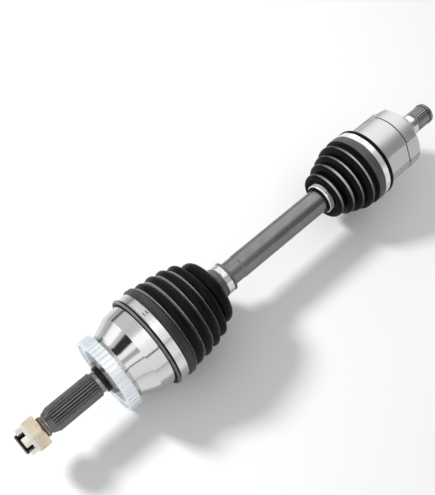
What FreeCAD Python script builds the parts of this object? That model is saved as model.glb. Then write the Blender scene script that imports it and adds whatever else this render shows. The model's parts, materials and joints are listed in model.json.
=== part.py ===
"""Front drive shaft with a fixed ball joint, a plain shaft and a plunging tripod joint.

Row frame, in millimetres: +X runs along the shaft from the wheel to the gearbox, +Z is up,
and the origin is on the axis at the shoulder that the wheel hub bears on.
"""
import FreeCAD, Part
import math
import os
import Sketcher

DIMENSIONS = {
    # wheel stub and bell, one forging
    "thread_start_x": -98.0, "thread_end_x": -69.8, "thread_r": 11.0, "thread_pitch": 1.5,
    "thread_flank": 0.6, "thread_depth": 0.8, "thread_turns": 17, "thread_point": 1.2,
    "thread_fade": 0.9, "thread_relief_r": 9.9,
    "spline_lead_x": -67.3, "spline_lead_r": 10.9, "spline_lead_bevel": 0.4, "spline_start_x": -60.0,
    "spline_end_x": -9.8, "spline_r": 13.4, "spline_tooth_h": 1.1, "spline_teeth": 28,
    "undercut_start_x": -8.5, "undercut_r": 11.9, "undercut_end_x": -5.2, "pilot_r": 14.2,
    "pilot_len": 3.8, "shoulder_r": 19.0, "boss_r": 21.5, "bell_face_x": 5.4, "ring_seat_r": 36.8,
    "ring_seat_end_x": 18.0, "bell_corner_x": 20.2, "bell_corner_r": 38.0, "bell_corner_step": 0.8,
    "bell_kink_x": 36.6, "bell_kink_r": 45.7, "bell_r": 47.0, "bell_full_x": 50.9, "bell_seat_r": 46.2,
    "bell_seat_x": 53.0, "bell_groove_r": 44.8, "bell_groove_slope": 1.4, "bell_mouth_x": 70.0,
    "bell_mouth_r": 38.4, "bell_funnel_x": 65.0, "bell_funnel_r": 33.6,
    # ball joint
    "outer_centre_x": 52.0, "ball_r": 9.0, "ball_pitch_r": 31.5, "track_r": 11.0,
    "cavity_r": 36.0, "cage_outer_r": 35.7, "cage_inner_r": 27.3, "cage_half_len": 16.0,
    "cage_window_w": 18.2, "cage_window_l": 22.0, "cage_window_start_r": 10.0, "race_r": 27.0,
    "race_half_len": 13.0, "track_start_angle": -41.0, "track_sweep": 100.0,
    # wheel speed ring and hub nut
    "ring_face_x": 1.1, "ring_end_x": 13.9, "ring_r": 42.4, "ring_rim_r": 39.0,
    "ring_web_x": 2.8, "ring_bore_r": 31.0, "ring_chamfer": 0.8, "ring_teeth": 48,
    "ring_slot_w": 2.6, "ring_slot_depth": 1.5,
    "nut_crown_x": -94.5, "nut_hex_x": -87.6, "nut_face_x": -73.3, "nut_flats_r": 16.0,
    "nut_crown_r": 14.6, "nut_crown_bevel": 0.8, "nut_crown_root": 0.5, "nut_edge_r": 15.8,
    "nut_corner_r": 18.6, "nut_bevel_len": 1.5, "nut_bore_r": 11.06, "nut_slot_w": 5.2, "nut_turn": 112.0,
    # shaft
    "shaft_start_x": 35.0, "shaft_end_x": 406.5, "shaft_bevel": 0.8, "race_lead_r": 12.0,
    "race_seat_r": 12.4, "race_seat_end_x": 67.0, "shaft_neck_x": 68.0, "shaft_neck_r": 12.6,
    "shaft_neck_end_x": 146.0, "shaft_body_x": 149.0, "shaft_r": 13.0, "shaft_step_x": 179.9,
    "shaft_step_len": 0.8, "shaft_big_r": 13.5,
    "shaft_taper_x": 332.0, "shaft_thin_x": 340.0, "shaft_thin_r": 11.2,
    "clip_groove_r": 10.6, "clip_r": 13.8, "clip_t": 1.5, "clip_gap": 0.1, "clip_opening": 3.0,
    "clip_fit": 0.05,
    # tripod joint
    "spider_x": 392.5, "spider_half_len": 10.0, "spider_hub_r": 15.8, "spider_bore_r": 11.2,
    "spider_groove_r": 9.6, "spider_clip_r": 12.8, "trunnion_start_r": 12.7, "trunnion_r": 8.5,
    "trunnion_end_r": 27.6, "trunnion_groove_r": 7.6, "roller_r": 14.5, "roller_start_r": 16.2,
    "roller_len": 9.0, "roller_bore_r": 10.6, "needle_start_r": 16.4, "needle_r": 1.0, "needle_len": 8.6,
    "needle_pitch_r": 9.55, "needle_count": 26, "washer_r": 12.6, "washer_t": 0.6, "snap_ring_t": 0.9,
    "snap_ring_r": 10.4, "side_gap": 0.1,
    "housing_mouth_x": 362.0, "housing_r": 36.3, "housing_seat_r": 35.4, "housing_seat_x": 375.4,
    "housing_bevel": 0.8, "housing_step_bevel": 0.6, "housing_edge": 1.5,
    "housing_line_x": 409.0, "housing_line_w": 1.2, "housing_line_depth": 0.5,
    "housing_shoulder_x": 427.0, "housing_bore_r": 23.5, "housing_mouth_r": 29.0,
    "housing_mouth_depth": 12.0, "housing_floor_x": 424.2, "lobe_r": 31.0, "lobe_half_w": 15.25,
    "flat_r": 33.4, "flat_w": 23.6, "flat_start_x": 379.0, "lobe_turn": 90.0,
    "housing_back_x": 431.5, "housing_back_r": 27.0, "housing_cone_x": 439.5, "housing_cone_r": 18.0,
    "journal_r": 12.6, "journal_start_x": 446.5, "journal_end_x": 452.6,
    "stub_relief_x": 453.6, "stub_relief_r": 10.4, "stub_spline_x": 454.6, "stub_spline_full_x": 455.6,
    "stub_spline_r": 11.8, "stub_tooth_h": 1.0, "stub_teeth": 26, "stub_end_x": 479.0,
    "stub_point_len": 1.6, "stub_point_h": 1.8,
    "stub_clip_x": 472.6, "stub_clip_w": 1.8, "stub_clip_groove_r": 10.3,
    "stub_clip_r": 12.3, "stub_clip_opening": 4.0,
    # boots and their clamps
    "boot_wall": 2.4, "boot_gap": 0.2, "boot_bevel": 1.0, "boot_end_gap": 0.6, "boot_step_gap": 0.3,
    "fold_crest_w": 2.6, "clamp_seat_depth": 0.8,
    "outer_boot_start_x": 52.2, "outer_boot_lip_r": 52.0, "outer_boot_seat_r": 49.4,
    "outer_clamp_x": 56.8, "outer_clamp_len": 10.4, "outer_shoulder_x": 71.5,
    "outer_shoulder_r": 52.4, "outer_pocket_r": 48.4, "outer_cuff_x": 149.5, "outer_cuff_r": 16.4,
    "outer_cuff_flare": 1.2,
    "outer_cuff_end_x": 164.5, "outer_small_clamp_x": 152.6, "outer_small_clamp_len": 8.0,
    "inner_cuff_x": 299.4, "inner_cuff_end_x": 307.8, "inner_cuff_r": 17.0,
    "inner_small_clamp_x": 301.0, "inner_small_clamp_len": 6.0,
    "inner_shoulder_x": 354.5, "inner_shoulder_r": 41.9, "inner_boot_end_x": 375.0,
    "inner_seat_r": 39.9, "inner_clamp_x": 363.4, "inner_clamp_len": 7.2,
    "clamp_t": 1.1, "clamp_gap": 0.1, "clamp_ear_h": 2.2, "clamp_ear_w": 7.0, "clamp_ear_inset": 1.0,
    "clamp_ear_sink": 0.2,
}

# Each fold of a boot: crest station, crest radius, then the valley that follows it.
OUTER_FOLDS = (
    (83.7, 50.0, 90.0, 42.5),
    (96.3, 49.3, 102.6, 40.5),
    (108.7, 47.4, 114.9, 36.5),
    (121.3, 44.0, 127.6, 29.5),
    (134.2, 36.6, 144.6, 20.5),
)
OUTER_FIRST_VALLEY = (77.4, 44.5)
INNER_FOLDS = (
    (310.4, 27.0, 316.5, 22.4),
    (321.5, 32.3, 326.3, 27.4),
    (331.8, 36.0, 337.3, 31.8),
    (343.4, 40.6, 348.8, 37.0),
)
INNER_FIRST_VALLEY = (308.4, 19.0)

# Where the lock of each clamp lies, in degrees from +Y towards +Z.
OUTER_LARGE_LOCK = 81.0
INNER_LARGE_LOCK = 74.0
SMALL_LOCK = 107.0

BALL_ANGLES = (90.0, 270.0, 30.0, 150.0, 210.0, 330.0)
LOBE_COUNT = 3
LOBE_STEP = 120.0
SLOT_COUNT = 3
SLOT_STEP = 60.0
FULL_TURN = 360.0
HEX_SIDES = 6
ALONG_X = FreeCAD.Rotation(FreeCAD.Vector(0, 1, 0), 90)

# How far a cutting shape runs past what it cuts.
OVERRUN = 1.0

doc = FreeCAD.newDocument("cv_axle")
sheet = doc.addObject("Spreadsheet::Sheet", "Dimensions")
for row, (alias, value) in enumerate(DIMENSIONS.items(), start=1):
    sheet.set("A%d" % row, alias)
    sheet.set("B%d" % row, str(value))
    sheet.setAlias("B%d" % row, alias)
doc.recompute()

nodes = []


class Size:
    """A length that knows its value and the expression that gives it from the sheet."""

    def __init__(self, value, text):
        self.value = value
        self.text = text

    def _join(self, other, sign, value):
        text = other.text if isinstance(other, Size) else "%.9g" % other
        return Size(value, "(%s %s %s)" % (self.text, sign, text))

    def __add__(self, other):
        return self._join(other, "+", self.value + plain(other))

    def __radd__(self, other):
        return self + other

    def __sub__(self, other):
        return self._join(other, "-", self.value - plain(other))

    def __mul__(self, other):
        return self._join(other, "*", self.value * plain(other))

    def __rsub__(self, other):
        return -self + other

    def __neg__(self):
        return self * -1.0


def plain(size):
    return size.value if isinstance(size, Size) else size


class Sheet:
    """d.name is the sheet's cell of that name."""

    def __getattr__(self, alias):
        return Size(DIMENSIONS[alias], "Dimensions.%s" % alias)


d = Sheet()


def bind(thing, prop, size):
    """Sets a property, and ties it to the sheet when the size comes from there."""
    if isinstance(size, Size):
        thing.setExpression(prop, size.text)
    else:
        setattr(thing, prop, size)


def place(thing, x=0.0, y=0.0, z=0.0, rotation=None):
    """Puts a thing at a point whose coordinates may come from the sheet."""
    base = FreeCAD.Vector(plain(x), plain(y), plain(z))
    thing.Placement = FreeCAD.Placement(base, rotation or FreeCAD.Rotation())
    for axis, size in zip("xyz", (x, y, z)):
        if isinstance(size, Size):
            thing.setExpression("Placement.Base.%s" % axis, size.text)
    return thing


def node(label, thing):
    """Names a finished sub-part and lists it for export."""
    thing.Label = label
    nodes.append(thing)
    return thing


def make(kind, name, **sizes):
    thing = doc.addObject(kind, name)
    for prop, size in sizes.items():
        bind(thing, prop, size)
    return thing


def cylinder_x(name, start, length, radius):
    return place(make("Part::Cylinder", name, Radius=radius, Height=length), start, rotation=ALONG_X)


def cone_x(name, start, length, radius, end_radius):
    cone = make("Part::Cone", name, Radius1=radius, Radius2=end_radius, Height=length)
    return place(cone, start, rotation=ALONG_X)


def tube_x(name, start, length, radius, bore):
    """A plain ring on the shaft's axis."""
    return cut(name, cylinder_x(name + "_blank", start, length, radius),
               cylinder_x(name + "_bore", start - OVERRUN, length + OVERRUN * 2, bore))


def joined(name, things):
    fused = doc.addObject("Part::MultiFuse", name)
    fused.Shapes = things
    return fused


def cut(name, base, *tools):
    result = doc.addObject("Part::Cut", name)
    result.Base = base
    result.Tool = tools[0] if len(tools) == 1 else joined(name + "_tools", list(tools))
    return result


def common(name, *things):
    result = doc.addObject("Part::MultiCommon", name)
    result.Shapes = list(things)
    return result


def origin_plane(body, role):
    return [plane for plane in body.Origin.OriginFeatures if plane.Role == role][0]


def new_sketch(body, name, role):
    sketch = body.newObject("Sketcher::SketchObject", name)
    sketch.AttachmentSupport = [(origin_plane(body, role), "")]
    sketch.MapMode = "FlatFace"
    return sketch


def pin_point(sketch, edge, which, across, up):
    """Ties one end of an edge to its two coordinates."""
    for kind, size in (("DistanceX", across), ("DistanceY", up)):
        sketch.addConstraint(Sketcher.Constraint(kind, -1, 1, edge, which, plain(size)))
        if isinstance(size, Size):
            sketch.setExpression("Constraints[%d]" % (sketch.ConstraintCount - 1), size.text)


def draw_outline(sketch, points):
    """A closed outline of straight edges through points whose coordinates come from the sheet."""
    count = len(points)
    for index, start in enumerate(points):
        end = points[(index + 1) % count]
        first = FreeCAD.Vector(plain(start[0]), plain(start[1]), 0)
        last = FreeCAD.Vector(plain(end[0]), plain(end[1]), 0)
        sketch.addGeometry(Part.LineSegment(first, last), False)
    for index in range(count):
        sketch.addConstraint(Sketcher.Constraint("Coincident", index, 2, (index + 1) % count, 1))
    for index, point in enumerate(points):
        pin_point(sketch, index, 1, *point)


def turned(name, points):
    """A body turned about the shaft's axis from an outline of (station, radius) points."""
    body = doc.addObject("PartDesign::Body", name)
    sketch = new_sketch(body, name + "_outline", "XY_Plane")
    draw_outline(sketch, points)
    turn = body.newObject("PartDesign::Revolution", name + "_turned")
    turn.Profile = sketch
    turn.ReferenceAxis = (sketch, ["H_Axis"])
    turn.Angle = FULL_TURN
    body.Tip = turn
    return body


def notched(body, name, start, length, points, count):
    """Cuts one outline, drawn across the axis, into a turned body and repeats it round the axis."""
    sketch = new_sketch(body, name + "_outline", "YZ_Plane")
    sketch.setExpression("AttachmentOffset.Base.z", start.text)
    draw_outline(sketch, points)
    pocket = body.newObject("PartDesign::Pocket", name + "_notch")
    pocket.Profile = sketch
    pocket.Type = 0
    pocket.setExpression("Length", length.text)
    pocket.Reversed = True
    body.Tip = pocket
    doc.recompute()
    pattern = body.newObject("PartDesign::PolarPattern", name + "_ring")
    pattern.Originals = [pocket]
    pattern.Axis = (body.Origin.OriginFeatures[0], [""])
    pattern.Angle = FULL_TURN
    bind(pattern, "Occurrences", count)
    body.Tip = pattern
    return body


def tooth_gap(root_r, tip_r, half_angle):
    """A vee that opens outwards past the tips of a spline."""
    beyond = tip_r + OVERRUN
    half_w = beyond * math.sin(half_angle)
    return [(0.0, root_r), (-half_w, beyond), (half_w, beyond)]


def across(radius, degrees):
    """The y and z of a point at a radius from the axis, at an angle from +Y towards +Z."""
    angle = math.radians(degrees)
    return radius * math.cos(angle), radius * math.sin(angle)


def outward(degrees):
    """Turns local +Z to the direction across the axis at this angle."""
    return FreeCAD.Rotation(FreeCAD.Vector(1, 0, 0), degrees - 90.0)


def split_ring(name, start, length, radius, bore, opening):
    """A snap ring: a plain ring with an opening at the top."""
    ring = tube_x(name + "_ring", start, length, radius, bore)
    slot = make("Part::Box", name + "_opening", Length=length + OVERRUN * 2, Width=opening,
                Height=radius + OVERRUN)
    return cut(name, ring, place(slot, start - OVERRUN, opening * -0.5))


def ball_tracks(name):
    """Three pairs of ball tracks: parts of tori round the joint's centre."""
    tracks = []
    for degrees in BALL_ANGLES:
        track = make("Part::Torus", "%s_%d" % (name, degrees), Radius1=d.ball_pitch_r,
                     Radius2=d.track_r, Angle3=d.track_sweep)
        lie_flat = FreeCAD.Rotation(FreeCAD.Vector(1, 0, 0), -90.0)
        begin = FreeCAD.Rotation(FreeCAD.Vector(0, 1, 0), plain(d.track_start_angle) - 90.0)
        place(track, d.outer_centre_x, rotation=outward(degrees).multiply(begin).multiply(lie_flat))
        tracks.append(track)
    return joined(name, tracks)


def outer_joint_housing():
    thread = []
    for turn in range(int(DIMENSIONS["thread_turns"])):
        start = d.thread_start_x + d.thread_point + d.thread_pitch * turn
        thread += [
            (start, d.thread_r),
            (start + d.thread_flank, d.thread_r - d.thread_depth),
            (start + d.thread_flank * 2, d.thread_r),
        ]
    outline = [
        (d.thread_start_x, 0.0),
        (d.thread_start_x, d.thread_r - d.thread_point),
        *thread,
        (d.thread_end_x, d.thread_r),
        (d.thread_end_x + d.thread_fade, d.thread_relief_r),
        (d.spline_lead_x, d.thread_relief_r),
        (d.spline_lead_x + d.spline_lead_bevel, d.spline_lead_r),
        (d.spline_start_x, d.spline_r),
        (d.spline_end_x, d.spline_r),
        (d.undercut_start_x, d.undercut_r),
        (d.undercut_end_x, d.undercut_r),
        (-d.pilot_len, d.pilot_r),
        (0.0, d.pilot_r),
        (0.0, d.shoulder_r),
        (d.bell_face_x, d.boss_r),
        (d.bell_face_x, d.ring_seat_r),
        (d.ring_seat_end_x, d.ring_seat_r),
        (d.ring_seat_end_x, d.bell_corner_r - d.bell_corner_step),
        (d.bell_corner_x, d.bell_corner_r),
        (d.bell_kink_x, d.bell_kink_r),
        (d.bell_full_x, d.bell_r),
        (d.bell_seat_x, d.bell_r),
        (d.bell_seat_x, d.bell_seat_r),
        (d.outer_clamp_x, d.bell_seat_r),
        (d.outer_clamp_x + d.bell_groove_slope, d.bell_groove_r),
        (d.outer_clamp_x + d.outer_clamp_len - d.bell_groove_slope, d.bell_groove_r),
        (d.outer_clamp_x + d.outer_clamp_len, d.bell_seat_r),
        (d.bell_mouth_x, d.bell_seat_r),
        (d.bell_mouth_x, 0.0),
    ]
    blank = turned("wheel_forging", outline)
    root = d.spline_r - d.spline_tooth_h
    gap_angle = math.pi / DIMENSIONS["spline_teeth"]
    gap = tooth_gap(root, d.spline_r, gap_angle)
    notched(blank, "hub_spline", d.spline_lead_x, d.undercut_start_x - d.spline_lead_x, gap,
            int(DIMENSIONS["spline_teeth"]))
    cavity = place(make("Part::Sphere", "bell_cavity", Radius=d.cavity_r), d.outer_centre_x)
    mouth = cone_x("bell_mouth", d.bell_funnel_x, d.bell_mouth_x - d.bell_funnel_x, d.bell_funnel_r,
                   d.bell_mouth_r)
    node("outer_joint_housing", cut("outer_joint_housing", blank, cavity, mouth,
                                    ball_tracks("bell_tracks")))


def abs_tone_ring():
    ring = turned("ring_blank", [
        (d.ring_face_x, d.ring_rim_r),
        (d.ring_face_x, d.ring_r - d.ring_chamfer),
        (d.ring_face_x + d.ring_chamfer, d.ring_r),
        (d.ring_end_x - d.ring_chamfer, d.ring_r),
        (d.ring_end_x, d.ring_r - d.ring_chamfer),
        (d.ring_end_x, d.ring_seat_r),
        (d.bell_face_x, d.ring_seat_r),
        (d.bell_face_x, d.ring_bore_r),
        (d.ring_web_x, d.ring_bore_r),
        (d.ring_web_x, d.ring_rim_r),
    ])
    root = d.ring_r - d.ring_slot_depth
    half = d.ring_slot_w * 0.5
    tip = d.ring_r + OVERRUN
    slot = [(-half, root), (-half, tip), (half, tip), (half, root)]
    notched(ring, "ring_slot", d.ring_face_x - OVERRUN, d.ring_end_x - d.ring_face_x + OVERRUN * 2,
            slot, int(DIMENSIONS["ring_teeth"]))
    node("abs_tone_ring", ring)


def axle_nut():
    hex_len = d.nut_face_x - d.nut_hex_x
    corner_share = 1 / math.cos(math.pi / HEX_SIDES)
    prism = make("Part::Prism", "nut_hex", Circumradius=d.nut_flats_r * corner_share, Height=hex_len)
    prism.Polygon = HEX_SIDES
    spin = FreeCAD.Rotation(FreeCAD.Vector(1, 0, 0), DIMENSIONS["nut_turn"] - 90.0)
    place(prism, d.nut_hex_x, rotation=spin.multiply(ALONG_X))
    rounded = turned("nut_chamfers", [
        (d.nut_hex_x, 0.0),
        (d.nut_hex_x, d.nut_edge_r),
        (d.nut_hex_x + d.nut_bevel_len, d.nut_corner_r),
        (d.nut_face_x - d.nut_bevel_len, d.nut_corner_r),
        (d.nut_face_x, d.nut_edge_r),
        (d.nut_face_x, 0.0),
    ])
    crown = turned("nut_crown", [
        (d.nut_crown_x, 0.0),
        (d.nut_crown_x, d.nut_crown_r - d.nut_crown_bevel),
        (d.nut_crown_x + d.nut_crown_bevel, d.nut_crown_r),
        (d.nut_hex_x + d.nut_crown_root, d.nut_crown_r),
        (d.nut_hex_x + d.nut_crown_root, 0.0),
    ])
    solid = joined("nut_solid", [common("nut_body", prism, rounded), crown])
    tools = [cylinder_x("nut_bore", d.nut_crown_x - OVERRUN, d.nut_face_x - d.nut_crown_x + OVERRUN * 2,
                        d.nut_bore_r)]
    reach = d.nut_crown_r + OVERRUN
    for index in range(SLOT_COUNT):
        slot = make("Part::Box", "nut_slot_%d" % index, Length=d.nut_hex_x - d.nut_crown_x,
                    Width=d.nut_slot_w, Height=reach * 2)
        turn = FreeCAD.Rotation(FreeCAD.Vector(1, 0, 0), DIMENSIONS["nut_turn"] + SLOT_STEP * index)
        corner = turn.multVec(FreeCAD.Vector(0, -plain(d.nut_slot_w) / 2, -plain(reach)))
        tools.append(place(slot, d.nut_crown_x - OVERRUN, corner.y, corner.z, turn))
    node("axle_nut", cut("axle_nut", solid, *tools))


def ball_joint():
    centre = d.outer_centre_x
    race_band = cylinder_x("race_band", centre - d.race_half_len, d.race_half_len * 2, d.race_r + OVERRUN)
    race_ball = place(make("Part::Sphere", "race_ball", Radius=d.race_r), centre)
    race_bore = cylinder_x("race_bore", centre - d.race_half_len - OVERRUN,
                           (d.race_half_len + OVERRUN) * 2, d.race_seat_r)
    race = cut("outer_inner_race", common("race_blank", race_ball, race_band), race_bore,
               ball_tracks("race_tracks"))
    node("outer_inner_race", race)

    cage_band = cylinder_x("cage_band", centre - d.cage_half_len, d.cage_half_len * 2,
                           d.cage_outer_r + OVERRUN)
    cage_ball = place(make("Part::Sphere", "cage_ball", Radius=d.cage_outer_r), centre)
    tools = [place(make("Part::Sphere", "cage_inside", Radius=d.cage_inner_r), centre)]
    for degrees in BALL_ANGLES:
        window = make("Part::Box", "cage_window_%d" % degrees, Length=d.cage_window_w,
                      Width=d.cage_window_l, Height=d.cage_outer_r)
        start = FreeCAD.Vector(0, -plain(d.cage_window_l) / 2, plain(d.cage_window_start_r))
        corner = outward(degrees).multVec(start)
        place(window, centre - d.cage_window_w * 0.5, corner.y, corner.z, outward(degrees))
        tools.append(window)
    node("outer_cage", cut("outer_cage", common("cage_blank", cage_ball, cage_band), *tools))

    for index, degrees in enumerate(BALL_ANGLES, start=1):
        ball = make("Part::Sphere", "outer_ball_%d" % index, Radius=d.ball_r)
        place(ball, centre, *across(d.ball_pitch_r, degrees))
        node("outer_ball_%d" % index, ball)

    clip_x = centre - d.race_half_len - d.clip_t - d.clip_gap
    node("outer_circlip", split_ring("outer_circlip", clip_x, d.clip_t, d.clip_r,
                                     d.clip_groove_r + d.clip_fit, d.clip_opening))


def axle_shaft():
    outer_clip = d.outer_centre_x - d.race_half_len - d.clip_t - d.clip_gap * 2
    left_clip = d.spider_x - d.spider_half_len - d.clip_t - d.clip_gap * 2
    right_clip = d.spider_x + d.spider_half_len
    groove = d.clip_t + d.clip_gap * 2
    outline = [
        (d.shaft_start_x, 0.0),
        (d.shaft_start_x, d.race_lead_r - d.shaft_bevel),
        (d.shaft_start_x + d.shaft_bevel, d.race_lead_r),
        (outer_clip, d.race_lead_r),
        (outer_clip, d.clip_groove_r),
        (outer_clip + groove, d.clip_groove_r),
        (outer_clip + groove, d.race_seat_r),
        (d.race_seat_end_x, d.race_seat_r),
        (d.shaft_neck_x, d.shaft_neck_r),
        (d.shaft_neck_end_x, d.shaft_neck_r),
        (d.shaft_body_x, d.shaft_r),
        (d.shaft_step_x - d.shaft_step_len, d.shaft_r),
        (d.shaft_step_x, d.shaft_big_r),
        (d.shaft_taper_x, d.shaft_big_r),
        (d.shaft_thin_x, d.shaft_thin_r),
        (left_clip, d.shaft_thin_r),
        (left_clip, d.spider_groove_r),
        (left_clip + groove, d.spider_groove_r),
        (left_clip + groove, d.shaft_thin_r),
        (right_clip, d.shaft_thin_r),
        (right_clip, d.spider_groove_r),
        (right_clip + groove, d.spider_groove_r),
        (right_clip + groove, d.shaft_thin_r),
        (d.shaft_end_x - d.shaft_bevel, d.shaft_thin_r),
        (d.shaft_end_x, d.shaft_thin_r - d.shaft_bevel),
        (d.shaft_end_x, 0.0),
    ]
    node("axle_shaft", turned("shaft_bar", outline))
    for label, start in (("spider_circlip_outboard", left_clip + d.clip_gap),
                         ("spider_circlip_inboard", right_clip + d.clip_gap)):
        node(label, split_ring(label, start, d.clip_t, d.spider_clip_r, d.spider_groove_r + d.clip_fit,
                               d.clip_opening))


def trunnion_thing(name, degrees, start_r, length, radius, bore=None):
    """A ring or rod on a trunnion's axis, from one radius outwards."""
    rod = make("Part::Cylinder", name + "_rod", Radius=radius, Height=length)
    if bore is None:
        y, z = across(start_r, degrees)
        return place(rod, d.spider_x, y, z, outward(degrees))
    hole = make("Part::Cylinder", name + "_hole", Radius=bore, Height=length + OVERRUN * 2)
    place(rod, z=start_r)
    place(hole, z=start_r - OVERRUN)
    return place(cut(name, rod, hole), d.spider_x, rotation=outward(degrees))


def tripod():
    lobes = [DIMENSIONS["lobe_turn"] + LOBE_STEP * index for index in range(LOBE_COUNT)]
    hub = cylinder_x("spider_hub", d.spider_x - d.spider_half_len, d.spider_half_len * 2, d.spider_hub_r)
    trunnions, grooves = [hub], []
    ring_start = d.roller_start_r + d.roller_len + d.side_gap + d.washer_t + d.side_gap
    for degrees in lobes:
        name = "trunnion_%d" % degrees
        trunnions.append(trunnion_thing(name, degrees, d.trunnion_start_r,
                                        d.trunnion_end_r - d.trunnion_start_r, d.trunnion_r))
        grooves.append(trunnion_thing(name + "_groove", degrees, ring_start - d.clip_fit,
                                      d.snap_ring_t + d.clip_fit * 2, d.trunnion_r + OVERRUN,
                                      d.trunnion_groove_r))
    bore = cylinder_x("spider_bore", d.spider_x - d.spider_half_len - OVERRUN,
                      (d.spider_half_len + OVERRUN) * 2, d.spider_bore_r)
    node("tripod_spider", cut("tripod_spider", joined("spider_solid", trunnions), bore, *grooves))

    for index, degrees in enumerate(lobes, start=1):
        middle = d.roller_start_r + d.roller_len * 0.5
        barrel = place(make("Part::Sphere", "barrel_%d" % index, Radius=d.roller_r), z=middle)
        band = place(make("Part::Cylinder", "barrel_band_%d" % index, Radius=d.roller_r + OVERRUN,
                          Height=d.roller_len), z=d.roller_start_r)
        hole = place(make("Part::Cylinder", "barrel_hole_%d" % index, Radius=d.roller_bore_r,
                          Height=d.roller_len + OVERRUN * 2), z=d.roller_start_r - OVERRUN)
        label = "roller_%d" % index
        roller = cut(label, common(label + "_blank", barrel, band), hole)
        node(label, place(roller, d.spider_x, rotation=outward(degrees)))

        needles = []
        for number in range(int(DIMENSIONS["needle_count"])):
            y, x = across(d.needle_pitch_r, FULL_TURN * number / DIMENSIONS["needle_count"])
            needle = make("Part::Cylinder", "needle_%d_%d" % (index, number), Radius=d.needle_r,
                          Height=d.needle_len)
            needles.append(place(needle, x, y, d.needle_start_r))
        group = doc.addObject("Part::Compound", "roller_needles_%d" % index)
        group.Links = needles
        node("roller_needles_%d" % index, place(group, d.spider_x, rotation=outward(degrees)))

        washer_start = d.roller_start_r + d.roller_len + d.side_gap
        washer = trunnion_thing("roller_washer_%d" % index, degrees, washer_start, d.washer_t,
                                d.washer_r, d.trunnion_r + d.clip_fit)
        node("roller_washer_%d" % index, washer)
        snap = trunnion_thing("roller_snap_ring_%d" % index, degrees, ring_start, d.snap_ring_t,
                              d.snap_ring_r, d.trunnion_groove_r + d.clip_fit)
        node("roller_snap_ring_%d" % index, snap)


def tripod_housing():
    clip_end = d.stub_clip_x + d.stub_clip_w
    outline = [
        (d.housing_mouth_x, 0.0),
        (d.housing_mouth_x, d.housing_seat_r - d.housing_bevel),
        (d.housing_mouth_x + d.housing_bevel, d.housing_seat_r),
        (d.housing_seat_x, d.housing_seat_r),
        (d.housing_seat_x, d.housing_r - d.housing_step_bevel),
        (d.housing_seat_x + d.housing_step_bevel, d.housing_r),
        (d.housing_line_x, d.housing_r),
        (d.housing_line_x + d.housing_line_w * 0.5, d.housing_r - d.housing_line_depth),
        (d.housing_line_x + d.housing_line_w, d.housing_r),
        (d.housing_shoulder_x - d.housing_edge, d.housing_r),
        (d.housing_shoulder_x, d.housing_r - d.housing_edge),
        (d.housing_back_x, d.housing_back_r),
        (d.housing_cone_x, d.housing_cone_r),
        (d.journal_start_x, d.journal_r),
        (d.journal_end_x - d.housing_bevel, d.journal_r),
        (d.journal_end_x, d.journal_r - d.housing_bevel),
        (d.stub_relief_x, d.stub_relief_r),
        (d.stub_spline_x, d.stub_relief_r),
        (d.stub_spline_full_x, d.stub_spline_r),
        (d.stub_clip_x, d.stub_spline_r),
        (d.stub_clip_x, d.stub_clip_groove_r),
        (clip_end, d.stub_clip_groove_r),
        (clip_end, d.stub_spline_r),
        (d.stub_end_x - d.stub_point_len, d.stub_spline_r),
        (d.stub_end_x, d.stub_spline_r - d.stub_point_h),
        (d.stub_end_x, 0.0),
    ]
    blank = turned("gearbox_forging", outline)
    gap = tooth_gap(d.stub_spline_r - d.stub_tooth_h, d.stub_spline_r, math.pi / DIMENSIONS["stub_teeth"])
    notched(blank, "stub_spline", d.stub_spline_x, d.stub_end_x - d.stub_spline_x + OVERRUN, gap,
            int(DIMENSIONS["stub_teeth"]))
    depth = d.housing_floor_x - d.housing_mouth_x + OVERRUN
    tools = [
        cylinder_x("housing_bore", d.housing_mouth_x - OVERRUN, depth, d.housing_bore_r),
        cone_x("housing_mouth", d.housing_mouth_x, d.housing_mouth_depth, d.housing_mouth_r,
               d.housing_bore_r),
    ]
    limit = cylinder_x("lobe_limit", d.housing_mouth_x - OVERRUN, depth, d.lobe_r)
    slots = []
    for index in range(LOBE_COUNT):
        degrees = DIMENSIONS["lobe_turn"] + LOBE_STEP * index
        slot = make("Part::Box", "lobe_slot_%d" % index, Length=depth, Width=d.lobe_half_w * 2,
                    Height=d.lobe_r + OVERRUN)
        corner = outward(degrees).multVec(FreeCAD.Vector(0, -plain(d.lobe_half_w), 0))
        slots.append(place(slot, d.housing_mouth_x - OVERRUN, corner.y, corner.z, outward(degrees)))

        flat = make("Part::Box", "flat_%d" % index, Length=d.stub_end_x - d.flat_start_x,
                    Width=d.flat_w, Height=d.housing_r)
        side = degrees + LOBE_STEP / 2
        corner = outward(side).multVec(FreeCAD.Vector(0, -plain(d.flat_w) / 2, plain(d.flat_r)))
        tools.append(place(flat, d.flat_start_x, corner.y, corner.z, outward(side)))
    tools.append(common("lobes", joined("lobe_slots", slots), limit))
    node("tripod_housing", cut("tripod_housing", blank, *tools))
    node("stub_circlip", split_ring("stub_circlip", d.stub_clip_x + d.side_gap,
                                    d.stub_clip_w - d.side_gap * 2, d.stub_clip_r,
                                    d.stub_clip_groove_r + d.clip_fit, d.stub_clip_opening))


def lining(skin):
    """The skin's points one wall thickness nearer the axis, backwards."""
    return [(x, radius - d.boot_wall) for x, radius in reversed(skin)]


def folds(rows):
    """The skin over a row of folds, each with a narrow flat on its crest."""
    half = d.fold_crest_w * 0.5
    points = []
    for crest_x, crest_r, valley_x, valley_r in rows:
        points += [(crest_x - half, crest_r), (crest_x + half, crest_r), (valley_x, valley_r)]
    return points


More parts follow.
